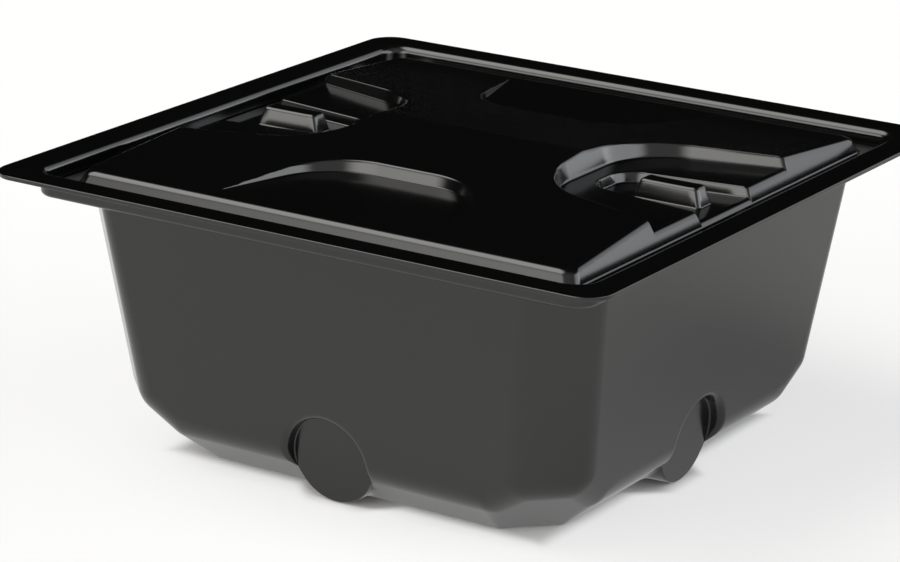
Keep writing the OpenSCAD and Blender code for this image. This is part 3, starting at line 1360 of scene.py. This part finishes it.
@dataclass(frozen=True)
class SoftLight:
    """A broad soft light in one direction, part of the surround."""

    name: str
    toward: tuple[float, float, float]
    outer: float
    inner: float
    level: Rgb

    def lobe(self, tree: Tree, place: Socket) -> Socket:
        """Adds the light's nodes.

        Args:
            tree: The world's nodes.
            place: The socket that gives the direction.

        Returns:
            The light's colour in each direction.
        """
        outer, inner = (math.cos(math.radians(angle)) for angle in (self.outer, self.inner))
        facing = along(tree, place, Vector(self.toward).normalized())
        share = fade(tree, facing, (outer, inner, 0.0, 1.0))
        node = add_node(tree, "VectorMath", {0: self.level, "Scale": share}, "SCALE")
        node.label = self.name
        return node.outputs["Vector"]


@dataclass
class Studio:
    """A pale floor, a soft surround and the camera."""

    azimuth: float = 32.758
    elevation: float = 17.834
    roll: float = 0.98
    lens: float = 143.09
    sensor: float = 36.0
    clip: tuple[float, float] = (0.05, 200.0)
    eye: tuple[float, float, float] = (2.1307, -3.3649, 1.4688)
    floor_half: float = 30.0
    floor_colour: Rgb = (0.93, 0.925, 0.91)
    floor_roughness: float = 0.9
    floor_gloss: float = 0.0
    # Painted contact shade: camera rays see the floor lifted towards white, by none up to 0.238 m
    # out from the middle and by 0.65 past 0.268 m, so shade near the base stays deep.
    painted_contact_shade: Fade = (0.238, 0.268, 0.0, 0.65)
    # Painted shade beside the pads: next to each pad the held-back zone reaches up to 0.034 m
    # further out.
    painted_shade_beside_pads: Fade = (0.03, 0.075, -0.034, 0.0)
    # Painted reflection: glossy rays see the floor 0.45 as a glow, 0.95 bright at the front-left
    # and dimming to 0.48 towards the back-right as painted shade.
    painted_reflection_share: float = 0.45
    painted_reflection_way: tuple[float, float, float] = (0.6, 0.8, 0.0)
    painted_reflection_fade: Fade = (0.0, 0.7, 0.95, 0.48)
    room_front: tuple[float, float, float] = (0.5, -0.85, 0.0)
    room_fade: Fade = (-0.2, 0.9, 0.002, 0.6)
    lights: tuple[SoftLight, ...] = (
        SoftLight("key", (-0.5, -0.3, 0.81), 32.0, 12.0, (4.4, 4.35, 4.2)),
        SoftLight("front", (-0.25, -0.96, 0.05), 40.0, 16.0, (3.7, 3.65, 3.5)),
        SoftLight("side", (0.96, 0.26, -0.09), 48.0, 30.0, (3.05, 3.15, 3.2)),
        SoftLight("back", (0.46, 0.84, 0.28), 28.0, 8.0, (1.5, 1.55, 1.6)),
    )

    def camera(self) -> None:
        """Sets the camera at the photograph's viewpoint."""
        a, e, r = (math.radians(v) for v in (self.azimuth, self.elevation, self.roll))
        back = Vector((math.sin(a) * math.cos(e), -math.cos(a) * math.cos(e), math.sin(e)))
        right = Vector((0, 0, 1)).cross(back).normalized()
        up = back.cross(right)
        tilt_x = right * math.cos(r) + up * math.sin(r)
        tilt_y = up * math.cos(r) - right * math.sin(r)
        data = bpy.data.cameras.new("camera")
        data.lens, data.sensor_width = self.lens, self.sensor
        data.clip_start, data.clip_end = self.clip
        cam = add_object("camera", data)
        turn = Matrix((tilt_x, tilt_y, back)).transposed().to_4x4()
        cam.matrix_world = Matrix.Translation(Vector(self.eye)) @ turn
        bpy.context.scene.camera = cam

    def floor(self) -> None:
        """Lays the floor, with painted contact shade near the tub and a painted reflection glow."""
        h = self.floor_half
        mesh = bpy.data.meshes.new("floor")
        mesh.from_pydata([(-h, -h, 0), (h, -h, 0), (h, h, 0), (-h, h, 0)], [], [(0, 1, 2, 3)])
        mat = bpy.data.materials.new("floor")
        mat.use_nodes = True
        tree = mat.node_tree
        nodes, links = tree.nodes, tree.links
        shader = nodes["Principled BSDF"]
        shader.inputs["Base Color"].default_value = (*self.floor_colour, 1)
        shader.inputs["Roughness"].default_value = self.floor_roughness
        shader.inputs["Specular IOR Level"].default_value = self.floor_gloss
        place = add_node(tree, "TexCoord", {}).outputs["Object"]
        ray = add_node(tree, "LightPath", {}).outputs
        # Painted contact shade: the white lift that camera rays see is held back near the tub's
        # base and beside the pads.
        out, along_wall = self.from_middle(tree, place)
        shift = fade(tree, along_wall, self.painted_shade_beside_pads)
        near = fade(tree, worked(tree, "ADD", out, shift), self.painted_contact_shade)
        seen = worked(tree, "MULTIPLY", ray["Is Camera Ray"], near)
        shown = pick(tree, seen, shader, add_node(tree, "Emission", {}))
        # Painted reflection: a glow that only glossy rays see on the floor, dimmer towards the
        # back-right as painted shade.
        level = fade(tree, along(tree, place, self.painted_reflection_way), self.painted_reflection_fade)
        painted_reflection_glow = add_node(tree, "Emission", {"Strength": level})
        mirrored = worked(tree, "MULTIPLY", ray["Is Glossy Ray"], self.painted_reflection_share)
        both = pick(tree, mirrored, shown, painted_reflection_glow)
        links.new(both.outputs["Shader"], nodes["Material Output"].inputs["Surface"])
        mesh.materials.append(mat)
        add_object("floor", mesh)

    @staticmethod
    def from_middle(tree: Tree, place: Socket) -> tuple[Socket, Socket]:
        """A place on the floor as the nearest wall has it.

        Args:
            tree: The floor's nodes.
            place: The socket that gives the place.

        Returns:
            How far out from the middle it lies, and how far along the wall.
        """
        parts = add_node(tree, "SeparateXYZ", {0: place}).outputs
        sizes = [
            add_node(tree, "Math", {0: parts[name]}, "ABSOLUTE").outputs["Value"] for name in "XY"
        ]
        return worked(tree, "MAXIMUM", *sizes), worked(tree, "MINIMUM", *sizes)

    def surround(self) -> None:
        """Makes the soft light all round: the lights and a dim room.

        The room is pale in front, where level faces mirror it, and dark behind.
        """
        world = bpy.data.worlds.new("surround")
        bpy.context.scene.world = world
        world.use_nodes = True
        tree = world.node_tree
        place = add_node(tree, "TexCoord", {}).outputs["Generated"]
        total = fade(tree, along(tree, place, self.room_front), self.room_fade)
        for light in self.lights:
            parts = {0: total, 1: light.lobe(tree, place)}
            total = add_node(tree, "VectorMath", parts, "ADD").outputs["Vector"]
        ray = add_node(tree, "LightPath", {}).outputs
        lit = add_node(tree, "Background", {"Color": total})
        shown = add_node(tree, "Background", {"Color": (1, 1, 1, 1)})
        seen = pick(tree, ray["Is Camera Ray"], lit, shown)
        tree.links.new(seen.outputs["Shader"], tree.nodes["World Output"].inputs["Surface"])

    def build(self) -> None:
        """Sets up the camera, the floor and the light."""
        self.camera()
        self.floor()
        self.surround()
        bpy.context.scene.view_settings.view_transform = "Standard"


# The run


def main() -> None:
    """Builds the pieces in order."""
    logging.basicConfig(level=logging.INFO, format="%(message)s", force=True)
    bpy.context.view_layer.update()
    Studio().build()
    log.info("studio ready")
    tub = Tub().build(SheetPlastic("tub_plastic").material())
    log.info("%s built", tub.name)
    lid = Lid().build(SheetPlastic("lid_plastic").material())
    log.info("%s built", lid.name)


if __name__ == "__main__":
    main()
